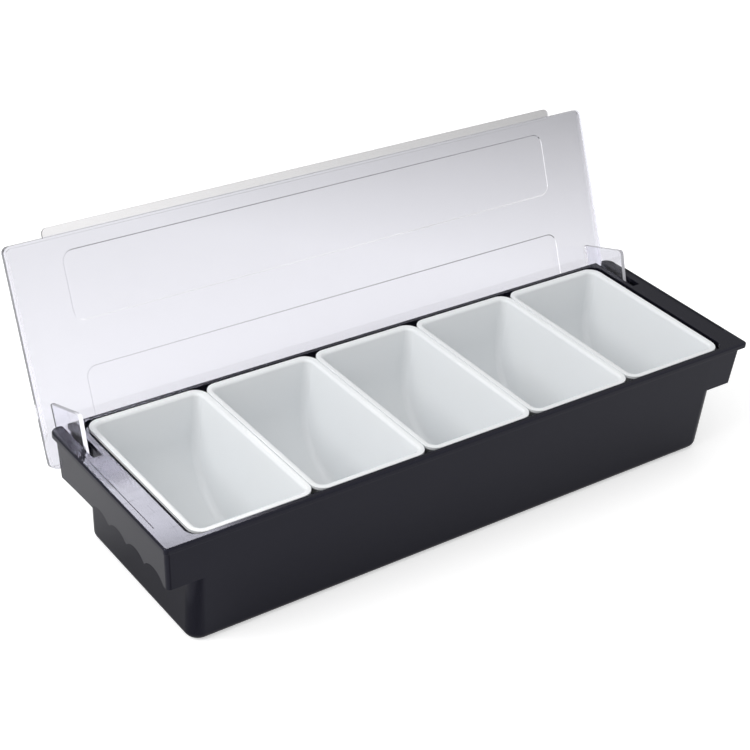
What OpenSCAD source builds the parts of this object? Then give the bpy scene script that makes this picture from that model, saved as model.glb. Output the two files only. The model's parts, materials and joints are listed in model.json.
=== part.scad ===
// Bar condiment caddy: a black moulded base, five lift-out inserts and one clear hinged lid.
// Millimetres. +X runs along the row of inserts, +Y to the back, +Z up.
// The origin is the centre of the base's underside. The lid stands open, at its rear stop.

/* [Inserts] */
// Width of one insert over its rim, along the row
insert_w = 89.3; // [70:0.1:110]
// Depth of one insert over its rim, front to back
insert_d = 142.4; // [110:0.1:180]
// Height of one insert, from its underside to the top of its rim
insert_h = 81; // [70:0.1:110]
// Gap between the rims of neighbouring inserts
insert_gap = 0.5; // [0.3:0.1:3]
// Corner radius of the insert's rim
insert_r = 8; // [5:0.5:14]
// How far the rim stands out from the insert's wall
insert_rim_over = 3; // [2.8:0.1:5]
// Thickness of the insert's rim
insert_rim_t = 2.4; // [1.5:0.1:4]
// Wall thickness of the insert
insert_wall = 1.8; // [1.2:0.1:3]
// Floor thickness of the insert
insert_floor = 2; // [1.2:0.1:4]
// Draft of the insert's walls, degrees
insert_draft = 4.3; // [4.2:0.1:6]
// Radius where the insert's side walls meet its floor
insert_foot_r = 6; // [3:0.5:10]
// Radius of the long curve from the insert's front and back walls into its floor
insert_scoop_r = 48; // [20:1:50]

/* [Base] */
// Wall thickness of the tub
wall = 2.6; // [1.8:0.1:4]
// Thickness of the tub's bottom
bottom_t = 2.6; // [1.8:0.1:5]
// Air under the hanging inserts
under_insert = 5.2; // [1:0.1:8]
// How far the inserts' rims lie below the top of the base
rim_sink = 0.2; // [0:0.1:1]
// Draft of the tub's front and back walls, degrees
tub_draft = 2.5; // [1.5:0.1:4.1]
// Draft of the tub's end walls, degrees
tub_end_draft = 1.6; // [1:0.1:4.1]
// Vertical corner radius of the tub
tub_r = 10; // [9:0.5:20]
// Radius along the tub's bottom edge
tub_foot_r = 6; // [3:0.5:7]
// Width of the ledge that the inserts hang on
ledge_w = 2.2; // [1.5:0.1:2.6]
// Clearance between the row of inserts and the opening, at each end
end_clear = 1.2; // [0.5:0.1:3]
// Clearance between the inserts and the opening, at front and back
side_clear = 0.8; // [0.5:0.1:3]
// Width of the rim along the front and the back
side_lip_w = 4; // [3.5:0.1:8]
// Width of the flange at each end
end_flange_w = 22.05; // [21:0.05:30]
// Height of the band round the rim
lip_h = 4.4; // [3:0.1:8]
// Corner radius of the rim
rim_r = 5; // [3:0.5:5]
// Thickness of the end flanges
plate_t = 2.6; // [2:0.1:4]

/* [End skirts] */
// How far the end skirts reach below the top of the base
skirt_h = 36; // [30:0.5:45]
// Thickness of the skirts
skirt_t = 2.4; // [1.6:0.1:3]
// Overhang of the rim beyond the skirts
skirt_inset = 2.5; // [2:0.1:4]
// Draft of the skirts' end faces, degrees
skirt_draft = 4.4; // [2:0.1:6]
// Vertical corner radius of the skirts
skirt_r = 3; // [2:0.5:5]
// Number of finger grips cut in the lower edge of each skirt
grip_count = 4; // [2:1:4]
// Distance from one finger grip to the next
grip_pitch = 22.8; // [18:0.1:24]
// Height of a finger grip
grip_h = 6; // [3:0.5:9]
// Distance of the first finger grip behind the skirt's front
grip_start = 6; // [3:0.5:12]
// Rise of the skirt's lower edge between its corners
edge_rise = 3; // [1:0.5:5]

/* [Flange dish] */
// Depth of the shallow dish in each end flange
dish_depth = 0.8; // [0.4:0.1:1.2]
// Width of the raised strip between the opening and the dish
dish_inner = 4.85; // [3:0.05:5.5]
// Width of the raised strip outside the dish
dish_outer = 3.7; // [2:0.1:6]
// Distance of the dish from the front of the rim
dish_front = 13; // [8:0.5:30]
// Corner radius of the dish
dish_r = 3.5; // [1:0.5:5]

/* [Hinge] */
// Width of the finger of flange outside each hinge slot
finger_w = 9.4; // [8:0.1:9.6]
// Width of each hinge slot
slot_w = 6.7; // [5.5:0.1:7]
// Distance of the hinge axis in front of the rim's rear edge
hinge_in = 11.7; // [11:0.1:14]
// Distance of the hinge axis below the top of the base
hinge_drop = 13.4; // [12:0.1:16]
// Radius of the pegs that the lid turns on
peg_r = 3; // [2:0.1:3.5]
// Radial play of a peg in its socket
peg_play = 0.05; // [0.02:0.01:0.1]
// Depth of the peg sockets
socket_depth = 3; // [2:0.1:3]
// Air at the end of each peg
peg_end_air = 0.2; // [0.1:0.1:0.5]
// Thickness of plastic round each socket
socket_wall = 3.4; // [2:0.1:5]
// Clearance between the turning ear and the front end of its slot
slot_clear = 0.5; // [0.3:0.1:2]

/* [Lid] */
// Thickness of the lid
lid_t = 2.5; // [1.8:0.1:3.5]
// How far each end of the lid lies inside the end of the rim
lid_end_inset = 0.4; // [0:0.1:1]
// How far the closed lid's front edge lies behind the front of the rim
lid_front_inset = 3; // [0:0.5:4]
// How far the closed lid reaches past the rear of the rim
lid_rear_over = 1.3; // [1.3:0.1:3]
// Corner radius of the lid
lid_r = 6; // [3:0.5:8]
// Thickness of the lid's flange
flange_t = 1.8; // [1.2:0.1:2.2]
// Depth of the lid's flange at the front
flange_front = 2.5; // [1.5:0.1:4]
// Depth of the lid's flange at the back
flange_rear = 5.2; // [4.6:0.1:5.4]
// Gap between the closed lid and the rim, and between the open lid and the back wall
seat_gap = 0.3; // [0.2:0.1:0.6]
// Thickness of each hinge ear
ear_t = 3; // [2:0.1:3.4]
// How far each hinge ear lies outside the middle of its slot
ear_out = 0.9; // [0:0.1:1]
// Lean of each ear's outline against the lid's plate, degrees
ear_lean = 4; // [0:0.5:5]
// Reach of an ear in front of the hinge axis
ear_fore = 28; // [22:0.1:34]
// Reach of an ear below the hinge axis
ear_below = 21.3; // [14:0.1:22]
// Radius of an ear's lower front corner
ear_front_r = 3; // [2:0.5:6]
// Radius of an ear's lower rear corner
ear_rear_r = 14; // [8:0.5:14]
// Distance of the finger strip from each end of the lid
strip_inset = 29.6; // [15:0.1:60]
// Reach of the finger strip beyond the lid's front edge
strip_w = 6; // [4:0.5:12]
// Thickness of the finger strip
strip_t = 1.8; // [1.2:0.1:1.8]
// Corner radius of the finger strip
strip_r = 4; // [2:0.5:4]
// Distance of the two panel frames from the ends of the lid
frame_end = 40; // [20:0.5:70]
// Distance of the panel frames from the lid's front and rear edges
frame_side = 11.5; // [6:0.5:18]
// Space between the two panel frames
frame_between = 31; // [16:0.5:50]
// Depth of the panels inside the frames
frame_depth = 0.4; // [0.2:0.1:0.8]
// Corner radius of the panel frames
frame_r = 6; // [3:0.5:12]

/* [Hidden] */
NODES = ["base", "lid", "insert_1", "insert_2", "insert_3", "insert_4", "insert_5"];
insert_count = len(NODES) - 2;   // every node but the base and the lid is an insert
$fn = 64;
corner_fn = 32;   // segments of the rounded corners inside a hull
slice = 0.01;     // height of the thin slices that a hull spans
over = 1;         // how far a cut runs past the face that it opens
buried = 0.05;    // how far the skirts' front and back lie inside the tub's faces

// Sizes of the row of inserts and of the base that holds it
insert_pitch = insert_w + insert_gap;
row_l = insert_count * insert_w + (insert_count - 1) * insert_gap;
opening_l = row_l + 2 * end_clear;
opening_w = insert_d + 2 * side_clear;
opening_r = insert_r + side_clear;
rim_l = opening_l + 2 * end_flange_w;
rim_w = opening_w + 2 * side_lip_w;
base_h = bottom_t + under_insert + insert_h + rim_sink;
insert_z = bottom_t + under_insert;
ledge_z = base_h - rim_sink - insert_rim_t;
lip_z = base_h - lip_h;
skirt_z = base_h - skirt_h;
tub_top_l = opening_l - 2 * ledge_w + 2 * wall;
tub_top_w = opening_w - 2 * ledge_w + 2 * wall;
function tub_l(z) = tub_top_l - 2 * (ledge_z - z) * tan(tub_end_draft);
function tub_w(z) = tub_top_w - 2 * (ledge_z - z) * tan(tub_draft);
function skirt_l(z) = rim_l - 2 * skirt_inset - 2 * (lip_z - z) * tan(skirt_draft);

// Places of the hinge slots, the ears and the hinge axis
slot_x = rim_l / 2 - finger_w - slot_w / 2;
hinge_y = rim_w / 2 - hinge_in;
hinge_z = base_h - hinge_drop;
ear_corner_r = norm([ear_fore - ear_front_r, ear_below - ear_front_r]) + ear_front_r;
slot_front_y = hinge_y - sqrt(pow(ear_corner_r, 2) - pow(hinge_drop - plate_t, 2)) - slot_clear;

// The lid, measured in its own plane: along it from its front edge, and away from its inner face
lid_l = rim_l - 2 * lid_end_inset;
lid_tilt = asin((flange_rear - flange_front) / (rim_w - lid_front_inset + lid_rear_over));
lid_d = (rim_w - lid_front_inset + lid_rear_over) / cos(lid_tilt);
lid_front_y = lid_front_inset - rim_w / 2;
lid_seat_z = base_h + seat_gap + flange_front;
hinge_along = (hinge_y - lid_front_y) * cos(lid_tilt) + (hinge_z - lid_seat_z) * sin(lid_tilt);
hinge_below = (hinge_y - lid_front_y) * sin(lid_tilt) - (hinge_z - lid_seat_z) * cos(lid_tilt);
relief_r = norm([hinge_in, hinge_drop]) + seat_gap;

// The open lid leans back until the free edge of its rear flange meets the tub's back wall
stop_along = lid_d - hinge_along;
stop_above = hinge_below - flange_rear;
stop_r = norm([stop_along, stop_above]);
stop_closed = atan2(stop_above, stop_along) + lid_tilt;
wall_y = tub_w(hinge_z) / 2 + seat_gap / cos(tub_draft) - hinge_y;
stop_open = -acos(wall_y * cos(tub_draft) / stop_r) - tub_draft;
open_angle = stop_closed - stop_open;

base_colour = [0.07, 0.07, 0.08];
insert_colour = [0.94, 0.94, 0.92];
lid_colour = [0.86, 0.86, 0.9, 0.4];

// A rectangle with rounded corners, centred on the origin
module rounded(l, w, r) {
    square([l - 2 * r, w], center = true);
    square([l, w - 2 * r], center = true);
    for (x = [-1, 1], y = [-1, 1])
        translate([x * (l / 2 - r), y * (w / 2 - r)]) circle(r);
}

// A thin rounded slice at height z
module level(l, w, r, z) {
    translate([0, 0, z]) linear_extrude(slice) rounded(l, w, r, $fn = corner_fn);
}

// Slices that round the foot of the tub's outside, or of its inside at a depth under the surface:
// r is the corner radius above the foot, foot_r the foot's radius and low its lowest height
module rounded_foot(r, foot_r, low, depth) {
    for (a = [0 : 22.5 : 90]) {
        inset = foot_r * (1 - sin(a));
        z = low + foot_r * (1 - cos(a));
        level(tub_l(z) - 2 * (depth + inset), tub_w(z) - 2 * (depth + inset), r - inset, z);
    }
}

module both_ends() {
    children();
    mirror([1, 0, 0]) children();
}

module tub_outside() {
    hull() {
        rounded_foot(tub_r, tub_foot_r, 0, 0);
        level(tub_l(ledge_z), tub_w(ledge_z), tub_r, ledge_z);
    }
}

module tub_inside() {
    hull() {
        rounded_foot(tub_r - wall, max(tub_foot_r - wall, 1), bottom_t, wall);
        level(tub_l(ledge_z) - 2 * wall, tub_w(ledge_z) - 2 * wall, opening_r - ledge_w, ledge_z + over);
    }
}

module skirt_outside() {
    hull() {
        level(skirt_l(skirt_z), tub_w(skirt_z) - 2 * buried, skirt_r, skirt_z);
        level(skirt_l(lip_z), tub_w(lip_z) - 2 * buried, skirt_r, lip_z);
    }
}

module skirt_inside() {
    inner_r = max(skirt_r - skirt_t, 1);
    low = skirt_z - over;
    high = base_h - plate_t;
    hull() {
        level(skirt_l(low) - 2 * skirt_t, tub_w(low) - 2 * skirt_t, inner_r, low);
        level(skirt_l(high) - 2 * skirt_t, tub_w(high) - 2 * skirt_t, inner_r, high - slice);
    }
}

// Cuts the lower edge of one end skirt: a long shallow rise with finger grips in its front part
module grip_cuts() {
    skirt_w = tub_w(skirt_z);
    front = -skirt_w / 2;
    rise_r = (pow(skirt_w / 2, 2) + pow(edge_rise, 2)) / (2 * edge_rise);
    grip_r = (pow(grip_pitch / 2, 2) + pow(grip_h, 2)) / (2 * grip_h);
    inner_x = tub_l(skirt_z + edge_rise + grip_h) / 2 + over;
    translate([inner_x, 0, 0]) rotate([90, 0, 90]) linear_extrude(rim_l / 2 - inner_x)
        intersection() {
            translate([front, skirt_z - over]) square([skirt_w, skirt_h / 2]);
            union() {
                translate([0, skirt_z + edge_rise - rise_r]) circle(rise_r, $fn = 360);
                for (i = [0 : grip_count - 1])
                    translate([front + grip_start + (i + 0.5) * grip_pitch,
                               skirt_z + edge_rise / 2 + grip_h - grip_r]) circle(grip_r);
            }
        }
}

// The solid boss under the flange's finger that holds one peg
module hinge_boss() {
    boss_r = peg_r + socket_wall;
    x0 = slot_x + slot_w / 2;
    x1 = skirt_l(lip_z) / 2 - skirt_t;
    back = tub_w(hinge_z) / 2 - skirt_t / 2;
    translate([x0, hinge_y, hinge_z]) rotate([0, 90, 0]) cylinder(r = boss_r, h = x1 - x0);
    translate([x0, hinge_y - boss_r, hinge_z])
        cube([x1 - x0, back - hinge_y + boss_r, hinge_drop - plate_t / 2]);
    translate([x0, hinge_y, hinge_z - boss_r]) cube([x1 - x0, back - hinge_y, 2 * boss_r]);
}

module hinge_cuts() {
    slot_l = rim_w / 2 - slot_front_y + over;
    translate([slot_x - slot_w / 2, slot_front_y, skirt_z - over]) cube([slot_w, slot_l, skirt_h + 2 * over]);
    translate([slot_x, hinge_y, hinge_z]) rotate([0, 90, 0])
        cylinder(r = peg_r + peg_play, h = slot_w / 2 + socket_depth);
}

module flange_dish() {
    x0 = opening_l / 2 + dish_inner;
    x1 = rim_l / 2 - dish_outer;
    y0 = dish_front - rim_w / 2;
    y1 = rim_w / 2 + 2 * dish_r;
    translate([(x0 + x1) / 2, (y0 + y1) / 2, base_h - dish_depth])
        linear_extrude(dish_depth + over) rounded(x1 - x0, y1 - y0, dish_r);
}

module base() {
    color(base_colour) difference() {
        union() {
            difference() {
                union() {
                    skirt_outside();
                    translate([0, 0, lip_z]) linear_extrude(lip_h) rounded(rim_l, rim_w, rim_r);
                }
                skirt_inside();
                both_ends() grip_cuts();
            }
            tub_outside();
            both_ends() hinge_boss();
        }
        tub_inside();
        translate([0, 0, ledge_z]) linear_extrude(insert_rim_t + rim_sink + over)
            rounded(opening_l, opening_w, opening_r);
        both_ends() flange_dish();
        both_ends() hinge_cuts();
    }
}

// How far a foot of radius r draws in at a height above its lowest line
function foot_inset(r, height) = height < r ? r - sqrt(height * (2 * r - height)) : 0;

// A drafted tray form: l and w are its size at the top, its sides have a small foot and its
// front and back run into the floor in a long curve
module tray_form(l, w, r, foot_r, scoop_r, low, high) {
    shrink = (high - low) * tan(insert_draft);
    floor_l = l - 2 * shrink;
    floor_w = w - 2 * shrink;
    curve_r = min(scoop_r, floor_w / 2 - r, high - low);
    heights = concat([for (a = [0 : 22.5 : 90]) foot_r * (1 - cos(a))],
                     [for (a = [35 : 10 : 85]) curve_r * (1 - cos(a))]);
    hull() {
        for (rise = heights) {
            grown = 2 * rise * tan(insert_draft);
            level(floor_l + grown - 2 * foot_inset(foot_r, rise),
                  floor_w + grown - 2 * foot_inset(curve_r, rise),
                  r + foot_r / 2 - foot_inset(foot_r, rise), low + rise);
        }
        level(l, w, r, high);
    }
}

// One insert, centred at x, hanging by its rim on the ledge
module insert(x) {
    rim_z = insert_z + insert_h - insert_rim_t;
    body_l = insert_w - 2 * insert_rim_over;
    body_w = insert_d - 2 * insert_rim_over;
    body_r = insert_r - insert_rim_over + 1;
    translate([x, 0, 0]) color(insert_colour) difference() {
        union() {
            translate([0, 0, rim_z]) linear_extrude(insert_rim_t) rounded(insert_w, insert_d, insert_r);
            tray_form(body_l, body_w, body_r, insert_foot_r, insert_scoop_r, insert_z, rim_z);
        }
        tray_form(body_l - 2 * insert_wall, body_w - 2 * insert_wall, body_r - insert_wall / 2,
                  insert_foot_r, insert_scoop_r - insert_wall, insert_z + insert_floor,
                  insert_z + insert_h + over);
    }
}

function insert_x(i) = (i - (insert_count + 1) / 2) * insert_pitch;

module insert_1() { insert(insert_x(1)); }
module insert_2() { insert(insert_x(2)); }
module insert_3() { insert(insert_x(3)); }
module insert_4() { insert(insert_x(4)); }
module insert_5() { insert(insert_x(5)); }

// The lid's plate lies in the XY plane: y runs from its front edge, and its inner face is at z = 0
module lid_plate() {
    frame_w = (lid_d - 2 * frame_side - frame_between) / 2;
    difference() {
        union() {
            translate([0, lid_d / 2, 0]) linear_extrude(lid_t) rounded(lid_l, lid_d, lid_r);
            strip_l = lid_l - 2 * strip_inset;
            translate([0, 0, lid_t - strip_t]) linear_extrude(strip_t)
                rounded(strip_l, 2 * strip_w, strip_r);
        }
        for (y = [frame_side + frame_w / 2, lid_d - frame_side - frame_w / 2])
            translate([0, y, lid_t - frame_depth]) linear_extrude(frame_depth + over)
                rounded(lid_l - 2 * frame_end, frame_w, frame_r);
    }
}

// The flange round the plate grows deeper towards the back, and clears the rim as the lid turns
module lid_flange() {
    depths = [[0, over], [0, -flange_front], [lid_d, -flange_rear], [lid_d, over]];
    difference() {
        intersection() {
            translate([0, lid_d / 2, -flange_rear]) linear_extrude(flange_rear + lid_t / 2) difference() {
                rounded(lid_l, lid_d, lid_r);
                rounded(lid_l - 2 * flange_t, lid_d - 2 * flange_t, lid_r - flange_t);
            }
            rotate([90, 0, 90]) translate([0, 0, -lid_l / 2]) linear_extrude(lid_l) polygon(depths);
        }
        translate([-lid_l / 2 - over, hinge_along, -hinge_below]) rotate([0, 90, 0])
            cylinder(r = relief_r, h = lid_l + 2 * over, $fn = 128);
    }
}

// An ear's outline round the hinge axis, before it leans; it runs on above the plate
module ear_outline() {
    back = lid_d - flange_t / 2 - hinge_along;
    difference() {
        translate([-ear_fore, -ear_below]) square([ear_fore + back, ear_below + hinge_below + lid_t + 2 * over]);
        translate([-ear_fore, -ear_below]) square(2 * ear_front_r, center = true);
        translate([back, -ear_below]) square(2 * ear_rear_r, center = true);
    }
    translate([ear_front_r - ear_fore, ear_front_r - ear_below]) circle(ear_front_r);
    translate([back - ear_rear_r, ear_rear_r - ear_below]) circle(ear_rear_r);
}

// One ear hangs from the plate into its slot and carries the outward peg
module lid_ear() {
    low = -hinge_below - 2 * ear_below;
    translate([slot_x + ear_out - ear_t / 2, 0, 0]) rotate([90, 0, 90]) linear_extrude(ear_t)
        intersection() {
            translate([hinge_along, -hinge_below]) rotate(ear_lean) ear_outline();
            translate([0, low]) square([lid_d - flange_t / 2, lid_t / 2 - low]);
        }
    peg_end = slot_w / 2 + socket_depth - peg_end_air;
    translate([slot_x, hinge_along, -hinge_below]) rotate([0, 90, 0]) cylinder(r = peg_r, h = peg_end);
}

module closed_lid() {
    translate([0, lid_front_y, lid_seat_z]) rotate([lid_tilt, 0, 0]) {
        lid_plate();
        lid_flange();
        both_ends() lid_ear();
    }
}

module lid() {
    color(lid_colour) translate([0, hinge_y, hinge_z]) rotate([-open_angle, 0, 0])
        translate([0, -hinge_y, -hinge_z]) closed_lid();
}

base();
lid();
insert_1();
insert_2();
insert_3();
insert_4();
insert_5();
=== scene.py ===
# %% [markdown]
# # A bar condiment caddy with a clear lid
# A bartender keeps lemon wedges, olives and cherries in a caddy like this one. It is three kinds of
# plastic: a glossy black base, five white lift-out trays, and one clear lid that flips back on two
# pegs. The CAD model already says where each piece is and how it moves. This notebook models the
# same pieces again with soft moulded edges, gives each its plastic, and lights them.
#
# Everything is in metres, in the CAD model's frame: +X along the row of trays, +Y to the back, +Z up.

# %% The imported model
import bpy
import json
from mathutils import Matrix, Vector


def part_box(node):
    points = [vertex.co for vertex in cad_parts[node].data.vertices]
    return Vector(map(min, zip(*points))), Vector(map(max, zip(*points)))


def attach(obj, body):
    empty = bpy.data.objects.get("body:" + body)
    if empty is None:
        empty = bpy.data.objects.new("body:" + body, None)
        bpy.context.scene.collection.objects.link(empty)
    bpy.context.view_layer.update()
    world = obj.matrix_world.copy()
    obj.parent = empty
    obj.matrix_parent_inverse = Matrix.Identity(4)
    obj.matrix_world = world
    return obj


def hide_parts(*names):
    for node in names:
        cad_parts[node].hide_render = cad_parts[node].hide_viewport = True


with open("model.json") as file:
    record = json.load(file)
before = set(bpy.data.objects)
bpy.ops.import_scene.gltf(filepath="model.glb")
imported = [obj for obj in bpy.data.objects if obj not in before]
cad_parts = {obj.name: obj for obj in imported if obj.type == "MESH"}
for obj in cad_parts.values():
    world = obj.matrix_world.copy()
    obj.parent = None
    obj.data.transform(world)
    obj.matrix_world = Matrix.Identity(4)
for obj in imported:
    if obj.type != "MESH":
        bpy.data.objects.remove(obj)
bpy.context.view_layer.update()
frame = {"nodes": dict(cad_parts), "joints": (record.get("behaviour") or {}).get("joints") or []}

# %% Modules and units
import json
import math

import bmesh
import bpy
from mathutils import Matrix, Vector

MM = 0.001

# %% [markdown]
# ## Sizes
# The large sizes are read from the CAD nodes' boxes, so that the new pieces land exactly on the old
# ones. Small sizes that a box can't tell, such as a wall's thickness, are named here, once.

# %% The three kinds of piece, as boxes
base_low, base_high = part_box("base")
tray_low, tray_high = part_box("insert_1")
TRAYS = [name for name in sorted(frame["nodes"]) if name.startswith("insert_")]
tray_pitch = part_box(TRAYS[1])[0].x - tray_low.x
rim_x, rim_y, top_z = base_high
print(f"{len(TRAYS)} trays, {tray_pitch / MM:.1f} mm apart, on a base {2 * rim_x / MM:.0f} mm long")

# %% The base's small sizes
# The band round the rim: its height, the radii of its corners and of its edges, the end plates
LIP_H = 4.4 * MM
RIM_R = 2.6 * MM
RIM_REAR_R = 6.4 * MM
RIM_EDGE_R = 1.4 * MM
RIM_FOOT_R = 0.5 * MM
PLATE_T = 2.6 * MM
# The opening, and the ledge in it that the trays hang on
OPENING_X = rim_x - 22.05 * MM
OPENING_Y = rim_y - 4 * MM
OPENING_R = 8.8 * MM
RECESS_X = OPENING_X + 2.1 * MM
LEDGE_W = 2.2 * MM
LEDGE_Z = top_z - 2.6 * MM
# The tub
WALL = 2.6 * MM
TUB_R = 10 * MM
TUB_FOOT_R = 6 * MM
TUB_DRAFT = math.radians(2.5)
TUB_END_DRAFT = math.radians(1.6)
# The skirt under each end plate
SKIRT_Z = top_z - 36 * MM
SKIRT_T = 2.4 * MM
SKIRT_R = 3 * MM
SKIRT_INNER_R = 1 * MM
SKIRT_INSET = 2.5 * MM
SKIRT_DRAFT = math.radians(4.4)
# The hinge slot in each end plate
SLOT_X = (rim_x - 16.1 * MM, rim_x - 9.4 * MM)
SLOT_FRONT = 31.58 * MM
# The edges all over the base
BASE_EDGE_R = 0.35 * MM

# %% The lid's small sizes
# The plate, and its flange, which is deeper at the back
LID_T = 2.5 * MM
LID_R = 4.5 * MM
LID_EDGE_R = 0.3 * MM
FLANGE_T = 1.8 * MM
FLANGE_FRONT = 2.5 * MM
FLANGE_REAR = 5.2 * MM
# The finger strip
STRIP_REACH = 6 * MM
STRIP_T = 1.8 * MM
# The ears and their pegs
EAR_T = 3 * MM
PEG_R = 3 * MM
PEG_END = rim_x - 6.6 * MM

# %% [markdown]
# ## Tools for the bench
# Most shaping in Blender goes the same way: make one object active, enter edit mode, select some
# edges or faces, and run an operator on them. By hand the selecting is done with the mouse. Here a
# test does it: a small function that looks at where an edge or a face is.

# %% Make one object the only one that operators touch
def activate(piece):
    bpy.ops.object.select_all(action="DESELECT")
    piece.select_set(True)
    bpy.context.view_layer.objects.active = piece

# %% Select by a test, in edit mode
def select(piece, kind, test):
    activate(piece)
    bpy.ops.object.mode_set(mode="EDIT")
    bpy.ops.mesh.select_mode(type=kind)
    bpy.ops.mesh.select_all(action="DESELECT")
    mesh = bmesh.from_edit_mesh(piece.data)
    for item in {"VERT": mesh.verts, "EDGE": mesh.edges, "FACE": mesh.faces}[kind]:
        if test(item):
            item.select_set(True)
    mesh.select_flush_mode()
    bmesh.update_edit_mesh(piece.data)


def leave_edit_mode():
    bpy.ops.object.mode_set(mode="OBJECT")

# %% [markdown]
# The tests themselves are short. An edge is *upright* if it mostly runs along Z, and *along x* if it
# runs along X all the way. `at` makes a test for everything that lies at one place on an axis.

# %% Tests for edges and faces
NEAR = 0.01 * MM
UPRIGHT_SHARE = 0.9
ALONG_SHARE = 0.99


def at(axis, place):
    return lambda item: all(abs(v.co[axis] - place) < NEAR for v in item.verts)


def upright(edge):
    a, b = (v.co for v in edge.verts)
    return abs(a.z - b.z) > UPRIGHT_SHARE * (a - b).length


def along_x(edge):
    a, b = (v.co for v in edge.verts)
    return abs(a.x - b.x) > ALONG_SHARE * (a - b).length

# %% [markdown]
# ## Blocks, rounding and cutting
# A moulded box starts as a cube of the right size. Its upright edges are bevelled into round
# corners, and draft, the slight taper that lets a moulding leave its mould, is made by scaling one
# end of it. Blocks are then joined or cut with a Boolean modifier, which is applied at once.
#
# A block that cuts another, or is joined to it, reaches a little past the other's face, because a
# Boolean can leave thin skins where two faces lie in one plane. `PAST` is how far.

# %% A block between two corners
PAST = 1 * MM


def block(name, low, high):
    bpy.ops.object.select_all(action="DESELECT")
    middle = [(a + b) / 2 for a, b in zip(low, high)]
    size = [b - a for a, b in zip(low, high)]
    bpy.ops.mesh.primitive_cube_add(size=1, location=middle, scale=size)
    piece = bpy.context.object
    piece.name = name
    bpy.ops.object.transform_apply(location=True, rotation=True, scale=True)
    return piece

# %% Round the edges that a test finds
def round_edges(piece, test, radius, segments):
    select(piece, "EDGE", test)
    bpy.ops.mesh.bevel(offset=radius, segments=segments, affect="EDGES")
    leave_edit_mode()

# %% Taper: scale what lies at one height about the block's middle
def taper(piece, height, shrink_x, shrink_y):
    low, high = corners(piece)
    middle = (low + high) / 2
    half = (high - low) / 2
    select(piece, "VERT", lambda v: abs(v.co.z - height) < NEAR)
    factors = (1 - shrink_x / half.x, 1 - shrink_y / half.y, 1)
    bpy.ops.transform.resize(value=factors, center_override=(middle.x, middle.y, height))
    leave_edit_mode()


def corners(piece):
    points = [v.co for v in piece.data.vertices]
    low = Vector(min(p[axis] for p in points) for axis in range(3))
    high = Vector(max(p[axis] for p in points) for axis in range(3))
    return low, high

# %% Apply a modifier
def apply_modifier(piece, kind, **settings):
    activate(piece)
    bpy.ops.object.modifier_add(type=kind)
    modifier = piece.modifiers[-1]
    for name, value in settings.items():
        setattr(modifier, name, value)
    bpy.ops.object.modifier_apply(modifier=modifier.name)

# %% Join or cut two pieces
def combine(piece, other, operation):
    apply_modifier(piece, "BOOLEAN", operation=operation, object=other, solver="EXACT")
    bpy.data.objects.remove(other)


def add(piece, other):
    combine(piece, other, "UNION")


def cut(piece, other):
    combine(piece, other, "DIFFERENCE")

# %% A round bar or hole along X
def bar_along_x(name, x_from, x_to, y, z, radius, sides=48):
    bpy.ops.object.select_all(action="DESELECT")
    bpy.ops.mesh.primitive_cylinder_add(
        vertices=sides, radius=radius, depth=x_to - x_from,
        location=((x_from + x_to) / 2, y, z), rotation=(0, math.pi / 2, 0))
    piece = bpy.context.object
    piece.name = name
    bpy.ops.object.transform_apply(location=True, rotation=True, scale=True)
    return piece

# %% Finish a moulding: soften its edges, then smooth its faces
SHARP = 35      # degrees between two faces, from where their edge counts as sharp
FLAT = 0.5      # degrees, up to where they count as one face


def soften(piece, edge_radius, angle=SHARP, segments=2):
    activate(piece)
    bpy.ops.object.mode_set(mode="EDIT")
    bpy.ops.mesh.select_all(action="SELECT")
    bpy.ops.mesh.remove_doubles(threshold=NEAR)
    bpy.ops.mesh.dissolve_limited(angle_limit=math.radians(FLAT))
    leave_edit_mode()
    apply_modifier(piece, "BEVEL", width=edge_radius, segments=segments,
                   limit_method="ANGLE", angle_limit=math.radians(angle))


def smooth(piece, angle=SHARP):
    activate(piece)
    bpy.ops.object.shade_smooth_by_angle(angle=math.radians(angle))
    apply_modifier(piece, "WEIGHTED_NORMAL", keep_sharp=True)
    print(f"{piece.name}: {len(piece.data.polygons)} faces")

# %% [markdown]
# ## The white trays
# A tray is a thin sheet of plastic of one thickness all over, turned outwards at the top into a rim.
# Two ways suggest themselves: carve a hollow out of a solid block, or shape the outside as an open
# sheet and let Solidify thicken it. The sheet is nearer to how the thing is made, and its wall comes
# out even all over, so it is the way here.
#
# The floor sweeps up to the front and the back in a long curve, so that a spoon can follow it. The
# curve is one bevel with a radius of nearly half the tray. The end walls then get a small radius all
# along their outline, which makes the upright corners and the foot in one go.

# %% The tray's small sizes
TRAY_T = 1.8 * MM
TRAY_RIM_OVER = 3 * MM
TRAY_RIM_H = 2.4 * MM
TRAY_CORNER_R = 7 * MM
TRAY_SCOOP_R = 48 * MM
TRAY_DRAFT = math.radians(4.3)
TRAY_EDGE_R = 0.7 * MM
TRAY_SHARP = 40
END_WALL_SHARE = 0.9
# Steps of the rim as the sheet turns outwards: up, then out
TRAY_RIM_STEPS = [
    (0.35 * MM, 0.05 * MM),
    (0.25 * MM, 0.2 * MM),
    (0.1 * MM, 0.35 * MM),
    (0.001 * MM, 0.6 * MM)]

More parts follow.
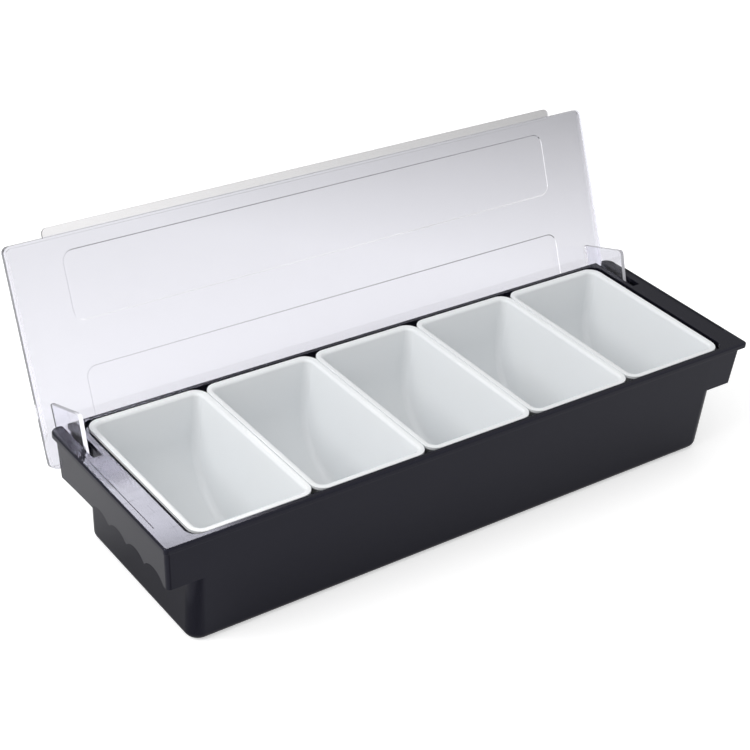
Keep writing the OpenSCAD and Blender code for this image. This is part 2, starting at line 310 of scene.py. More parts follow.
# %% The tray's sheet, open at the top
def tray_sheet(name):
    turn_h = sum(up for up, out in TRAY_RIM_STEPS)
    over = Vector((TRAY_RIM_OVER, TRAY_RIM_OVER, 0))
    high = tray_high - over - Vector((0, 0, TRAY_T + turn_h))
    low = tray_low + over
    tray = block(name, low, high)
    shrink = (high.z - low.z) * math.tan(TRAY_DRAFT)
    taper(tray, low.z, shrink, shrink)
    select(tray, "FACE", at(2, high.z))
    bpy.ops.mesh.delete(type="ONLY_FACE")
    leave_edit_mode()
    round_edges(tray, lambda e: along_x(e) and at(2, low.z)(e), TRAY_SCOOP_R, segments=20)
    end_wall = lambda face: abs(face.normal.x) > END_WALL_SHARE
    outline = lambda e: any(map(end_wall, e.link_faces)) and not at(2, high.z)(e)
    round_edges(tray, outline, TRAY_CORNER_R, segments=6)
    return tray

# %% [markdown]
# The rim is made by extruding the open edge again and again: a little up, and then outwards with
# *shrink/fatten*, which moves each point along its own normal, so that the round corners stay round.

# %% Turn the rim outwards and thicken the sheet
def turn_rim(tray):
    for up, out in TRAY_RIM_STEPS:
        edge_z = corners(tray)[1].z
        select(tray, "EDGE", lambda e: at(2, edge_z)(e) and len(e.link_faces) == 1)
        bpy.ops.mesh.extrude_edges_move(TRANSFORM_OT_translate={"value": (0, 0, up)})
        bpy.ops.transform.shrink_fatten(value=out, use_even_offset=True)
        leave_edit_mode()
    edge_z = corners(tray)[1].z
    select(tray, "EDGE", lambda e: at(2, edge_z)(e) and len(e.link_faces) == 1)
    bpy.ops.mesh.extrude_edges_move(TRANSFORM_OT_translate={"value": (0, 0, TRAY_T - TRAY_RIM_H)})
    leave_edit_mode()
    apply_modifier(tray, "SOLIDIFY", thickness=TRAY_T, offset=-1, use_even_offset=True)

# %% Model one tray and copy it along the row
first_tray = tray_sheet("tray_1")
turn_rim(first_tray)
soften(first_tray, TRAY_EDGE_R, angle=TRAY_SHARP, segments=3)
smooth(first_tray, angle=TRAY_SHARP)
print("the tray reaches", corners(first_tray), "and the CAD one", tray_low, tray_high)

trays = [first_tray]
for number, node in enumerate(TRAYS[1:], start=2):
    activate(first_tray)
    bpy.ops.object.duplicate(linked=False)
    tray = bpy.context.object
    tray.name = f"tray_{number}"
    bpy.ops.transform.translate(value=(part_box(node)[0].x - tray_low.x, 0, 0))
    bpy.ops.object.transform_apply(location=True, rotation=True, scale=True)
    trays.append(tray)

for tray, node in zip(trays, TRAYS):
    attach(tray, node)
    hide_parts(node)

# %% [markdown]
# ## The black base
# The base is one moulding, but it is easier to think of it as four: a deep tub, a band round the
# rim, a skirt at each end for the fingers, and the bosses that hold the lid's pegs. Each is a block
# or a bar with its own rounding and draft. They are joined first and hollowed afterwards, because a
# hollow cut last can't be filled again by the next block.

# %% The tub's outside and inside
def tub_half(z):
    x = OPENING_X - LEDGE_W + WALL - (LEDGE_Z - z) * math.tan(TUB_END_DRAFT)
    y = OPENING_Y - LEDGE_W + WALL - (LEDGE_Z - z) * math.tan(TUB_DRAFT)
    return x, y


def tub_block(name, low_z, high_z, wall, corner_r, foot_r):
    x_high, y_high = tub_half(high_z)
    x_low, y_low = tub_half(low_z)
    tub = block(name, (wall - x_high, wall - y_high, low_z), (x_high - wall, y_high - wall, high_z))
    taper(tub, low_z, x_high - x_low, y_high - y_low)
    round_edges(tub, upright, corner_r, segments=10)
    round_edges(tub, at(2, low_z), foot_r, segments=6)
    return tub

# %% The band round the rim, with its soft top edge
def rim_band():
    band = block("band", (-rim_x, -rim_y, top_z - LIP_H), (rim_x, rim_y, top_z))
    round_edges(band, lambda e: upright(e) and at(1, -rim_y)(e), RIM_R, segments=6)
    round_edges(band, lambda e: upright(e) and at(1, rim_y)(e), RIM_REAR_R, segments=8)
    round_edges(band, at(2, top_z), RIM_EDGE_R, segments=5)
    round_edges(band, at(2, top_z - LIP_H), RIM_FOOT_R, segments=2)
    return band

# %% [markdown]
# The skirt is a long box without top or bottom. Only its two ends show: the tub swallows the rest.
# Its front and back lie a hair inside the tub's own faces, so that no two faces are in one plane.

# %% The skirt
HAIR = 0.05 * MM


def skirt_half(z):
    x = rim_x - SKIRT_INSET - (top_z - LIP_H - z) * math.tan(SKIRT_DRAFT)
    return x, tub_half(z)[1] - HAIR


def skirt_block(name, low_z, high_z, wall, corner_r):
    x_high, y_high = skirt_half(high_z)
    x_low, y_low = skirt_half(low_z)
    skirt = block(name, (wall - x_high, wall - y_high, low_z), (x_high - wall, y_high - wall, high_z))
    taper(skirt, low_z, x_high - x_low, y_high - y_low)
    round_edges(skirt, upright, corner_r, segments=6)
    return skirt

# %% [markdown]
# The lower edge of each skirt has four finger grips: arcs cut by round bars that run along X. A much
# larger bar lifts the edge between them in one long, flat arc.

# %% The finger grips
GRIP_COUNT = 4
GRIP_PITCH = 22.8 * MM
GRIP_H = 6 * MM
GRIP_START = 6 * MM
EDGE_RISE = 3 * MM
TUB_GAP = 1 * MM
RISE_SIDES = 720


def arc_radius(half_chord, rise):
    return (half_chord ** 2 + rise ** 2) / (2 * rise)


def cut_grips(skirt):
    half = skirt_half(SKIRT_Z)[1]
    inner_x = tub_half(SKIRT_Z + EDGE_RISE + GRIP_H)[0] + TUB_GAP
    flat_r = arc_radius(half, EDGE_RISE)
    grip_r = arc_radius(GRIP_PITCH / 2, GRIP_H)
    for side in (-1, 1):
        x_from, x_to = sorted((side * inner_x, side * rim_x))
        z = SKIRT_Z + EDGE_RISE - flat_r
        cut(skirt, bar_along_x("rise", x_from, x_to, 0, z, flat_r, RISE_SIDES))
        for grip in range(GRIP_COUNT):
            y = GRIP_START + (grip + 0.5) * GRIP_PITCH - half
            z = SKIRT_Z + EDGE_RISE / 2 + GRIP_H - grip_r
            cut(skirt, bar_along_x("grip", x_from, x_to, y, z, grip_r))

# %% The bosses, and the slots and sockets of the hinge
hinge = next(joint for joint in frame["joints"] if joint["name"] == "lid_hinge")
hinge_point = Vector(hinge["pos_m"])
BOSS_R = PEG_R + 3.4 * MM
PEG_PLAY = 0.05 * MM
PEG_END_PLAY = 0.2 * MM
PEG_SIDES = 64


def add_boss(base, side):
    x_from, x_to = sorted((side * SLOT_X[1], side * (skirt_half(top_z - LIP_H)[0] - SKIRT_T)))
    y_back = tub_half(hinge_point.z)[1] - SKIRT_T / 2
    add(base, bar_along_x("boss", x_from, x_to, hinge_point.y, hinge_point.z, BOSS_R))
    add(base, block("boss_web", (x_from, hinge_point.y - BOSS_R, hinge_point.z),
                    (x_to, y_back, top_z - PLATE_T / 2)))


def cut_hinge(base, side):
    x_from, x_to = sorted((side * SLOT_X[0], side * SLOT_X[1]))
    cut(base, block("slot", (x_from, SLOT_FRONT, SKIRT_Z - PAST), (x_to, rim_y + PAST, top_z + PAST)))
    x_from, x_to = sorted((side * SLOT_X[0], side * (PEG_END + PEG_END_PLAY)))
    socket_r = PEG_R + PEG_PLAY
    cut(base, bar_along_x("socket", x_from, x_to, hinge_point.y, hinge_point.z, socket_r, PEG_SIDES))

# %% [markdown]
# Each end flange has a shallow dish beside the slot, four tenths of a millimetre deep. A Bevel
# modifier can't round such a low wall, and would make every other round as small as this one. So
# the dish is cut last, when the rest has its soft edges.

# %% The shallow dish in each end flange
DISH_DEPTH = 0.4 * MM
DISH_R = 1 * MM
DISH_X = (rim_x - 5.6 * MM, rim_x - 2.3 * MM)
DISH_FRONT = 22.5 * MM - rim_y


def cut_dish(base, side):
    x_from, x_to = sorted(side * x for x in DISH_X)
    dish = block("dish", (x_from, DISH_FRONT, top_z - DISH_DEPTH), (x_to, rim_y + PAST, top_z + PAST))
    round_edges(dish, upright, DISH_R, segments=4)
    cut(base, dish)

# %% [markdown]
# Between the slot and the end, the flange goes on to the back as a narrow finger. Its inner corner is
# round. The cutter is what a square corner has and a round one hasn't: a block minus an upright bar.

# %% The round inner corner of each finger tip
TIP_R = 3 * MM
TIP_SIDES = 48


def round_finger_tip(base, side):
    x_from, x_to = sorted((side * (SLOT_X[1] - PAST), side * (SLOT_X[1] + TIP_R)))
    corner_low = (x_from, rim_y - TIP_R, top_z - 2 * LIP_H)
    corner = block("corner", corner_low, (x_to, rim_y + PAST, top_z + PAST))
    middle = (side * (SLOT_X[1] + TIP_R), rim_y - TIP_R, top_z)
    bpy.ops.object.select_all(action="DESELECT")
    bpy.ops.mesh.primitive_cylinder_add(
        vertices=TIP_SIDES, radius=TIP_R, depth=4 * LIP_H, location=middle)
    cut(corner, bpy.context.object)
    cut(base, corner)

# %% Put the base together
base = skirt_block("base_shell", SKIRT_Z, top_z - LIP_H + PAST, 0, SKIRT_R)
add(base, rim_band())
cut(base, skirt_block("skirt_hollow", SKIRT_Z - PAST, top_z - PLATE_T, SKIRT_T, SKIRT_INNER_R))
cut_grips(base)
add(base, tub_block("tub", base_low.z, LEDGE_Z, 0, TUB_R, TUB_FOOT_R))
for side in (-1, 1):
    add_boss(base, side)
hollow_z = (base_low.z + WALL, LEDGE_Z + PAST)
cut(base, tub_block("hollow", *hollow_z, WALL, TUB_R - WALL, TUB_FOOT_R - WALL))
recess = block("recess", (-RECESS_X, -OPENING_Y, LEDGE_Z), (RECESS_X, OPENING_Y, top_z + PAST))
round_edges(recess, upright, OPENING_R, segments=8)
cut(base, recess)
for side in (-1, 1):
    cut_hinge(base, side)
    round_finger_tip(base, side)
soften(base, BASE_EDGE_R)
for side in (-1, 1):
    cut_dish(base, side)
smooth(base)
print("the base reaches", corners(base), "and the CAD one", base_low, base_high)
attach(base, "base")
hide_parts("base")

# %% [markdown]
# ## The clear lid
# The lid leans back at an odd angle, and nothing is easy to model at an odd angle. So it is modelled
# lying flat, with its front edge on the X axis and its inner face at Z 0, and turned into place at
# the end. Where that place is, the CAD lid tells: its largest face gives the lean of the plate.

# %% Where the open lid is
cad_lid = frame["nodes"]["lid"]
plate_face = max(cad_lid.data.polygons, key=lambda face: face.area)
lid_out = plate_face.normal.copy()
if lid_out.y < 0:
    lid_out.negate()
lid_out.x = 0
lid_out.normalize()
lid_along = Vector((0, lid_out.z, -lid_out.y))
reach = [v.co.dot(lid_along) for v in cad_lid.data.vertices]
lid_front = min(reach) + STRIP_REACH
lid_d = max(reach) - lid_front
plate_outer = max(v.co.dot(lid_out) for v in cad_lid.data.vertices)
lid_origin = lid_front * lid_along + (plate_outer - LID_T) * lid_out
lid_place = Matrix((Vector((1, 0, 0)), lid_along, lid_out)).transposed().to_4x4()
lid_place.translation = lid_origin
lid_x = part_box("lid")[1].x
hinge_flat = lid_place.inverted() @ hinge_point
lean = math.degrees(math.asin(-lid_out.z))
print(f"the lid is {lid_d / MM:.1f} mm deep and leans {lean:.1f} degrees back")

# %% [markdown]
# The plate is a block with round corners. Its flange grows from a narrow ring of the plate's inner
# face: *inset* makes the ring, *extrude* pulls it down, and *bisect* slices it along a slope, because
# the flange is deeper at the back than at the front.

# %% The plate and its flange
def lid_plate():
    plate = block("lid_shell", (-lid_x, 0, 0), (lid_x, lid_d, LID_T))
    round_edges(plate, upright, LID_R, segments=8)
    select(plate, "FACE", at(2, 0))
    bpy.ops.mesh.inset(thickness=FLANGE_T)
    leave_edit_mode()
    inner_x = lid_x - FLANGE_T + NEAR
    inner_y = (FLANGE_T - NEAR, lid_d - FLANGE_T + NEAR)
    inner = lambda v: abs(v.co.x) <= inner_x and inner_y[0] <= v.co.y <= inner_y[1]
    on_ring = lambda f: at(2, 0)(f) and not all(inner(v) for v in f.verts)
    select(plate, "FACE", on_ring)
    bpy.ops.mesh.extrude_region_move(TRANSFORM_OT_translate={"value": (0, 0, -FLANGE_REAR - PAST)})
    leave_edit_mode()
    return plate


def trim(piece, place, outwards):
    select(piece, "VERT", lambda v: True)
    bpy.ops.mesh.bisect(plane_co=place, plane_no=outwards, use_fill=True, clear_outer=True)
    leave_edit_mode()


def slope_flange(plate):
    trim(plate, (0, 0, -FLANGE_FRONT), (0, FLANGE_FRONT - FLANGE_REAR, -lid_d))

# %% The finger strip along the front edge
STRIP_INSET = 29.6 * MM
STRIP_R = 4 * MM


def finger_strip():
    half = lid_x - STRIP_INSET
    strip = block("strip", (-half, -STRIP_REACH, LID_T - STRIP_T), (half, STRIP_REACH, LID_T))
    round_edges(strip, upright, STRIP_R, segments=6)
    return strip

# %% [markdown]
# Two long panels are pressed a few tenths of a millimetre into the outer face. In clear plastic such
# a step shows only as a thin line, where its small slope bends the light. The cutter therefore has a
# sloped edge, so that the step is a slope too.

# %% The two framed panels
FRAME_END = 40 * MM
FRAME_SIDE = 11.5 * MM
FRAME_BETWEEN = 31 * MM
FRAME_R = 6 * MM
FRAME_DEPTH = 0.4 * MM
FRAME_SLOPE = 0.65 * MM


def panel_cutter(y_from, y_to):
    half = lid_x - FRAME_END + FRAME_SLOPE
    low, high = LID_T - FRAME_DEPTH, LID_T + FRAME_DEPTH
    cutter = block("panel", (-half, y_from - FRAME_SLOPE, low), (half, y_to + FRAME_SLOPE, high))
    taper(cutter, low, 2 * FRAME_SLOPE, 2 * FRAME_SLOPE)
    corner = lambda e: not at(2, low)(e) and not at(2, high)(e)
    round_edges(cutter, corner, FRAME_R, segments=8)
    return cutter

# %% [markdown]
# An ear hangs from the plate near each end and carries a peg. Its outline is a plain rectangle with
# a small round at the front and a large one at the back, where it swings past the slot. It leans a
# few degrees against the plate, so it is turned about the hinge, and *bisect* trims what then stands
# out above the plate or behind it.

# %% The hinge ears and their pegs
EAR_FORE = 28 * MM
EAR_BELOW = 21.3 * MM
EAR_FRONT_R = 3 * MM
EAR_REAR_R = 14 * MM
EAR_LEAN = math.radians(4)
EAR_ABOVE = 4 * MM
SLOT_MIDDLE = (SLOT_X[0] + SLOT_X[1]) / 2
EAR_X = SLOT_MIDDLE + 0.9 * MM


def add_ear(lid, side):
    x_from, x_to = side * EAR_X - EAR_T / 2, side * EAR_X + EAR_T / 2
    y_front = hinge_flat.y - EAR_FORE
    y_back = lid_d - FLANGE_T / 2
    low = hinge_flat.z - EAR_BELOW
    ear = block("ear", (x_from, y_front, low), (x_to, y_back, LID_T + EAR_ABOVE))
    corner = lambda y: lambda e: along_x(e) and at(2, low)(e) and at(1, y)(e)
    round_edges(ear, corner(y_front), EAR_FRONT_R, segments=6)
    round_edges(ear, corner(y_back), EAR_REAR_R, segments=12)
    select(ear, "VERT", lambda v: True)
    bpy.ops.transform.rotate(value=-EAR_LEAN, orient_axis="X", center_override=hinge_flat)
    leave_edit_mode()
    trim(ear, (0, 0, LID_T / 2), (0, 0, 1))
    trim(ear, (0, y_back, 0), (0, 1, 0))
    print(f"ear {side}: reaches", corners(ear))
    add(lid, ear)
    x_from, x_to = sorted((side * SLOT_MIDDLE, side * PEG_END))
    add(lid, bar_along_x("peg", x_from, x_to, hinge_flat.y, hinge_flat.z, PEG_R, PEG_SIDES))

# %% [markdown]
# The base's top rear edge stands in the flange's way as the lid turns. So the flange is cut away
# round the hinge, to a radius a little larger than the distance from the hinge to that edge.

# %% Put the lid together and turn it into place
RELIEF_GAP = 0.3 * MM
RELIEF_SIDES = 128
LID_SHARP = 20

lid = lid_plate()
slope_flange(lid)
relief_r = math.hypot(rim_y - hinge_point.y, top_z - hinge_point.z) + RELIEF_GAP
relief_x = lid_x + PAST
cut(lid, bar_along_x("relief", -relief_x, relief_x, hinge_flat.y, hinge_flat.z, relief_r, RELIEF_SIDES))
add(lid, finger_strip())
panel_w = (lid_d - 2 * FRAME_SIDE - FRAME_BETWEEN) / 2
cut(lid, panel_cutter(FRAME_SIDE, FRAME_SIDE + panel_w))
cut(lid, panel_cutter(lid_d - FRAME_SIDE - panel_w, lid_d - FRAME_SIDE))
for side in (-1, 1):
    add_ear(lid, side)
soften(lid, LID_EDGE_R, angle=LID_SHARP)
smooth(lid, angle=LID_SHARP)
lid.matrix_world = lid_place
activate(lid)
bpy.ops.object.transform_apply(location=True, rotation=True, scale=True)
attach(lid, "lid")
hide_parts("lid")

# %% [markdown]
# ## Shader maths as plain Python
# A material is a graph of nodes, and sums in it need a Math node each. The small class below wraps
# one output of a node, so that `rough + 0.1 * grain` builds those nodes by itself.

# %% A wire between nodes, with arithmetic
class Wire:
    def __init__(self, look, socket):
        self.look = look
        self.socket = socket

    def maths(self, operation, first, second):
        return self.look.node("ShaderNodeMath", {"operation": operation}, {0: first, 1: second})

    def __add__(self, other):
        return self.maths("ADD", self, other)

    def __sub__(self, other):
        return self.maths("SUBTRACT", self, other)

    def __rsub__(self, other):
        return self.maths("SUBTRACT", other, self)

    def __mul__(self, other):
        return self.maths("MULTIPLY", self, other)

    def __truediv__(self, other):
        return self.maths("DIVIDE", self, other)

    __radd__ = __add__
    __rmul__ = __mul__

# %% A look: the nodes of one material, or of the world
class Look:
    def __init__(self, owner, end):
        owner.use_nodes = True
        self.tree = owner.node_tree
        self.tree.nodes.clear()
        self.end = self.tree.nodes.new(end)

    def node(self, kind, settings=None, inputs=None, output=0):
        made = self.tree.nodes.new(kind)
        for name, value in (settings or {}).items():
            setattr(made, name, value)
        for name, value in (inputs or {}).items():
            if isinstance(value, Wire):
                self.tree.links.new(value.socket, made.inputs[name])
            else:
                made.inputs[name].default_value = value
        return Wire(self, made.outputs[output])

    def finish(self, surface):
        self.tree.links.new(surface.socket, self.end.inputs["Surface"])

# %% [markdown]
# Every pattern here starts from noise on Object coordinates, which are metres on the piece itself. A
# noise scale of 20 then means a pattern with about 20 waves to the metre, or 50 mm each. `between`
# is a ramp: 0 up to a low value, 1 from a high one, and even in between. It is a Map Range node,
# because a Color Ramp is stored in 256 steps, too few for a ramp of a millimetre in a metre.

# %% Patterns
def noise(look, waves_per_metre, detail, stretch=(1, 1, 1), twist=0):
    place = look.node("ShaderNodeTexCoord", output="Object")
    place = look.node("ShaderNodeMapping", None, {"Vector": place, "Scale": stretch})
    return look.node("ShaderNodeTexNoise", None, {
        "Vector": place, "Scale": waves_per_metre, "Detail": detail, "Distortion": twist})


def between(look, value, low, high):
    return look.node("ShaderNodeMapRange", None, {0: value, 1: low, 2: high})


def blend_colours(look, factor, first, second):
    return look.node("ShaderNodeMix", {"data_type": "RGBA"}, {0: factor, 6: first, 7: second}, 2)


def bump(look, height, metres, under=None):
    inputs = {"Height": height, "Distance": metres}
    if under:
        inputs["Normal"] = under
    return look.node("ShaderNodeBump", None, inputs)


def dot(look, vector, way):
    return look.node("ShaderNodeVectorMath", {"operation": "DOT_PRODUCT"}, {0: vector, 1: way}, 1)


def size_of(look, value):
    return look.node("ShaderNodeMath", {"operation": "ABSOLUTE"}, {0: value})


def plastic(look, inputs):
    look.finish(look.node("ShaderNodeBsdfPrincipled", None, inputs))

# %% [markdown]
# ## Glossy black plastic
# The base is injection moulded in a polished mould, so it mirrors the room, but not perfectly: the
# faces sink and swell a little between the ribs, hands leave a dull film, and bar tools leave
# hairlines. Each is one noise: a long one for the swell, a cloudy one for the film, and a very
# stretched one for the hairlines.

# %% Black plastic
BLACK = (0.006, 0.006, 0.0105, 1)
BLACK_FILMED = (0.008, 0.008, 0.0125, 1)
BLACK_GLOSS_TINT = (0.76, 0.76, 1, 1)
BLACK_SWELL = 0.3 * MM
BLACK_GRAIN = 0.0015 * MM
BLACK_SCORE = 0.002 * MM


def black_plastic(name):
    material = bpy.data.materials.new(name)
    look = Look(material, "ShaderNodeOutputMaterial")
    film = between(look, noise(look, 9, detail=3), 0.35, 0.75)
    grime = between(look, noise(look, 55, detail=4), 0.5, 0.85)
    lengthways = noise(look, 30, detail=2, stretch=(1, 40, 14))
    crossways = noise(look, 26, detail=2, stretch=(45, 1.5, 9))
    hairline = between(look, lengthways, 0.66, 0.7) + between(look, crossways, 0.67, 0.71)
    colour = blend_colours(look, film * 0.6 + grime * 0.3, BLACK, BLACK_FILMED)
    rough = 0.15 + 0.04 * film + 0.03 * grime + 0.05 * hairline
    swell = bump(look, noise(look, 14, detail=1), BLACK_SWELL)
    grain = bump(look, noise(look, 900, detail=2), BLACK_GRAIN, swell)
    scored = bump(look, 1 - hairline, BLACK_SCORE, grain)
    plastic(look, {
        "Base Color": colour, "Roughness": rough, "Normal": scored,
        "IOR": 1.45, "Specular IOR Level": 0.3, "Specular Tint": BLACK_GLOSS_TINT})
    print("black plastic:", len(look.tree.nodes), "nodes")
    return material

# %% [markdown]
# ## White plastic
# The trays are a softer, natural-white plastic with a satin face. Acid from the fruit dulls it in
# patches, and a faint warm cast gathers where juice stands.

# %% White plastic
WHITE = (0.80, 0.82, 0.835, 1)
WHITE_STAINED = (0.79, 0.80, 0.79, 1)
WHITE_CLOUDED = (0.83, 0.845, 0.86, 1)
WHITE_SWELL = 0.1 * MM
WHITE_GRAIN = 0.004 * MM


def white_plastic(name):
    material = bpy.data.materials.new(name)
    look = Look(material, "ShaderNodeOutputMaterial")
    stain = between(look, noise(look, 14, detail=3), 0.4, 0.9)
    cloud = noise(look, 7, detail=2)
    colour = blend_colours(look, stain * 0.35, WHITE, WHITE_STAINED)
    colour = blend_colours(look, cloud * 0.3, colour, WHITE_CLOUDED)
    scuff = between(look, noise(look, 40, detail=3, stretch=(1, 8, 3)), 0.6, 0.7)
    rough = 0.29 + 0.06 * cloud + 0.04 * stain + 0.03 * scuff
    swell = bump(look, noise(look, 18, detail=1), WHITE_SWELL)
    grain = bump(look, noise(look, 700, detail=2), WHITE_GRAIN, swell)
    plastic(look, {
        "Base Color": colour, "Roughness": rough, "Normal": grain,
        "IOR": 1.49, "Specular IOR Level": 0.35})
    print("white plastic:", len(look.tree.nodes), "nodes")
    return material

# %% [markdown]
# ## Clear plastic
# The lid is not glass: it has a faint violet cast and a little milkiness, which is the share that
# Transmission leaves to the plain diffuse shader. Finger marks and wiping make cloudy patches that
# blur what is seen through it, and the sheet's slow waves bend it. The finger strip is thinner than
# the plate, and so paler.
#
# The small slopes round the two panels bend the light, and the lines they make are painted as well:
# those at the top and the left get a painted shade, a thin grey line in the colour, and those at the
# bottom and the right a painted highlight, a thin light line in the colour and a painted glint in the
# emission, which is stronger towards the right. The surface's own normal says which slope a point is
# on. Two dot products of it are divided by each other, because the normal turns round when a ray
# meets the surface from inside, and the ratio then stays the same.

# %% Where the panels' slopes get painted shade and a painted highlight
TURN_SHALLOW = (0.95, 0.985)    # cosines of a slope's angle to the plate: the gentlest that counts,
TURN_STEEP = (0.2, 0.4)         # and the steepest
SLOPE_WAY = (0.1, 0.2)          # how far a slope must face down or to the right
SLOPE_DEPTH = (0.3 * MM, 0.1 * MM)


def panel_slopes(look, normal, outwards):
    out = dot(look, normal, lid_out)
    facing = size_of(look, out)
    turning = between(look, facing, *TURN_STEEP) * (1 - between(look, facing, *TURN_SHALLOW))
    slope = dot(look, normal, lid_along + Vector((1, 0, 0))) / out
    panel_z = plate_outer - FRAME_DEPTH
    on_outer_face = between(look, outwards, *(panel_z - depth for depth in SLOPE_DEPTH))
    # Masks for where the slopes get painted shade and a painted highlight
    shade = on_outer_face * turning * between(look, slope, *SLOPE_WAY)
    painted_shine = on_outer_face * turning * between(look, 0 - slope, *SLOPE_WAY)
    return shade, painted_shine

# %% [markdown]
# The edge of a clear sheet gathers light from the whole of it. Here that is painted light: the narrow
# edges of the ears and the two ends of the plate get a painted glow in the emission. Where they are,
# the place on the lid tells: how far from the middle, how far below the plate's face, and how far
# along the plate to the back.

# %% The edges with a painted glow
PLATE_END_SHARE = 0.35


def painted_edge_glow(look, normal, outwards, along, across):
    from_middle = size_of(look, across)
    sideways = between(look, size_of(look, dot(look, normal, (1, 0, 0))), 0.8, 0.9)
    past_inside = between(look, from_middle, EAR_X - 0.6 * EAR_T, EAR_X - 0.5 * EAR_T)
    past_outside = between(look, from_middle, EAR_X + 0.5 * EAR_T, EAR_X + 0.6 * EAR_T)
    inner_face = plate_outer - LID_T
    off_plate = 1 - between(look, outwards, inner_face - 2 * MM, inner_face - 1 * MM)
    ear_front = lid_front + hinge_flat.y - EAR_FORE
    at_back = between(look, along, ear_front - 4 * MM, ear_front - 3 * MM)
    ear_edge = past_inside * (1 - past_outside) * off_plate * at_back * (1 - sideways)
    plate_end = between(look, from_middle, lid_x - 0.6 * MM, lid_x - 0.2 * MM)
    return ear_edge + PLATE_END_SHARE * plate_end

# %% Clear plastic
CLEAR = (0.91, 0.908, 0.968, 1)
CLEAR_MARKED = (0.89, 0.888, 0.948, 1)
# The grey of the painted shade on the panels' top and left slopes
CLEAR_PAINTED_SHADE = (0.50, 0.49, 0.58, 1)
CLEAR_STRIP = (1, 0.99, 1, 1)
PLAIN_WHITE = (1, 1, 1, 1)
NO_GLOW = (0, 0, 0, 1)
# The colour of the painted glow on the ears' edges and the plate's ends, in the emission
PAINTED_EDGE_GLOW = (0.3, 0.3, 0.32, 1)
# The painted glint on the panels' light lines: its strength at the left and the right, and where it
# changes
GLINT_LEFT = 0.12
GLINT_RIGHT = 0.72
GLINT_FROM_X = -0.1
GLINT_TO_X = 0.2
CLEAR_WAVE = 0.25 * MM
CLEAR_GRAIN = 0.003 * MM


def clear_plastic(name):
    material = bpy.data.materials.new(name)
    look = Look(material, "ShaderNodeOutputMaterial")
    normal = look.node("ShaderNodeTexCoord", output="Normal")
    place = look.node("ShaderNodeTexCoord", output="Object")
    outwards, along, across = (dot(look, place, way) for way in (lid_out, lid_along, (1, 0, 0)))
    shade, painted_shine = panel_slopes(look, normal, outwards)
    marks = between(look, noise(look, 18, detail=6, twist=1.2), 0.5, 0.75)
    wiped = between(look, noise(look, 25, detail=3, stretch=(1, 6, 6)), 0.55, 0.8)
    hairline = between(look, noise(look, 24, detail=2, stretch=(30, 1, 1)), 0.68, 0.72)
    colour = blend_colours(look, marks * 0.3, CLEAR, CLEAR_MARKED)
    # Painted shade: a grey line on the top and left slopes; painted highlight: a white line on the
    # bottom and right ones
    colour = blend_colours(look, shade * 0.5, colour, CLEAR_PAINTED_SHADE)
    colour = blend_colours(look, painted_shine, colour, PLAIN_WHITE)
    on_strip = 1 - between(look, along, lid_front - 0.5 * MM, lid_front)
    colour = blend_colours(look, on_strip, colour, CLEAR_STRIP)
    rough = 0.03 + 0.04 * marks + 0.03 * wiped + 0.06 * hairline
    wave = bump(look, noise(look, 10, detail=1), CLEAR_WAVE)
    grain = bump(look, noise(look, 260, detail=2), CLEAR_GRAIN, wave)
    # Painted glint: the light lines also glow in the emission, more towards the right
    to_right = between(look, across, GLINT_FROM_X, GLINT_TO_X)
    painted_glint = painted_shine * (GLINT_LEFT + (GLINT_RIGHT - GLINT_LEFT) * to_right)
    glow = blend_colours(look, painted_glint, NO_GLOW, PLAIN_WHITE)
    # Painted glow in the emission on the ears' edges and the plate's ends
    edges = painted_edge_glow(look, normal, outwards, along, across)
    glow = blend_colours(look, edges, glow, PAINTED_EDGE_GLOW)
    plastic(look, {
        "Base Color": colour, "Roughness": rough, "Normal": grain, "IOR": 1.49,
        "Transmission Weight": 0.96, "Emission Color": glow, "Emission Strength": 1.0})
    print("clear plastic:", len(look.tree.nodes), "nodes")
    return material

# %% Give each piece its plastic
def dress(piece, material):
    piece.data.materials.clear()
    piece.data.materials.append(material)


dress(base, black_plastic("black_plastic"))
dress(lid, clear_plastic("clear_plastic"))
tray_material = white_plastic("white_plastic")
for tray in trays:
    dress(tray, tray_material)

# %% [markdown]
# ## The camera
# A long lens from the front left, a little above the caddy, keeps the row of trays from tapering.

# %% Camera
CAMERA_AT = Vector((-0.6644, -0.7988, 0.7281))
CAMERA_TO = Vector((0.00734, 0.06152, 0.060))
CAMERA_ROLL = math.radians(4.375)
CAMERA_LENS = 84
bpy.ops.object.camera_add(location=CAMERA_AT)
camera = bpy.context.object
camera.data.lens = CAMERA_LENS
looking = (CAMERA_TO - CAMERA_AT).to_track_quat("-Z", "Y").to_matrix()
camera.rotation_euler = (looking @ Matrix.Rotation(CAMERA_ROLL, 3, "Z")).to_euler()
bpy.context.scene.camera = camera
print("the camera stands", round((CAMERA_TO - CAMERA_AT).length, 3), "m away")

# %% [markdown]
# ## The studio
# A white sweep shows as plain white to the camera, to mirrors and through clear plastic, and lights
# the caddy like any pale floor. Light Path tells which kind of ray is asking, and note that a ray
# that has gone through slightly rough plastic counts both as a mirrored and as a transmitted one.
# Two lamps give the shape: a broad soft one at the left, and a small one behind, which only shows
# as a mirror image in the left flange.
#
# The studio is not even, and the sweep's darkening is painted shade in its shader. The sweep darkens
# towards the back right, which shows only through the clear lid. A strip of it beside the left end is
# darker, and so is one part of the sky at the back right. Both show only as mirror images: the strip
# in the skirt at the left end, and the sky in the level tops of the flanges.

# %% The rays that see the background
def background_rays(look):
    kinds = ("Is Camera Ray", "Is Glossy Ray", "Is Transmission Ray")
    asked = [look.node("ShaderNodeLightPath", output=kind) for kind in kinds]
    return look.node("ShaderNodeMath", {"operation": "ADD", "use_clamp": True},
                     {0: asked[0] + asked[1], 1: asked[2]})

